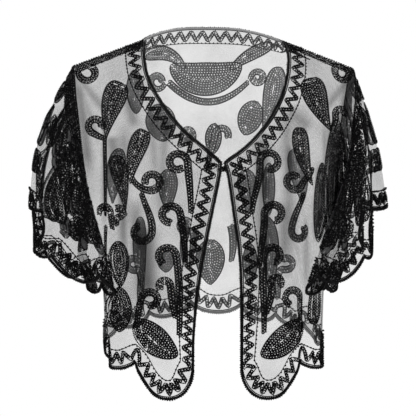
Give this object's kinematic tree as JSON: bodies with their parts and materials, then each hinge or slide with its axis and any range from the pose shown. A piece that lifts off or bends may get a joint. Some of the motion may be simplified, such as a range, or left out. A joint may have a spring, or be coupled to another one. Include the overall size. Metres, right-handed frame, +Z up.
{
  "type": "evening stole",
  "caption": "Sheer net evening stole in capelet form with cape sleeves, scalloped bound hems, a V neck closed by a hook and eye, and an open front, in its worn, filled-out form.",
  "frame": {"origin": "midway between the two side-neck points, on the level of the neck ends of the shoulder seams, where the wearer's shoulders carry the cloth", "axes": "+X is the wearer's left, -Y is the wearer's front, +Z is up"},
  "size_m": [0.5158, 0.2271, 0.5295],
  "materials": {
    "net": "sheer black net covered with sequin and bead work",
    "binding": "beaded black edge binding",
    "hook_metal": "black-lacquered wire"
  },
  "bodies": {
    "root": {"front_left": "net", "front_right": "net", "back": "net", "sleeve_left": "net", "sleeve_right": "net", "binding_front_left": "binding", "binding_front_right": "binding", "binding_back_neck": "binding", "binding_back_hem": "binding", "binding_sleeve_left": "binding", "binding_sleeve_right": "binding", "hook": "hook_metal", "eye": "hook_metal"}
  },
  "joints": []
}
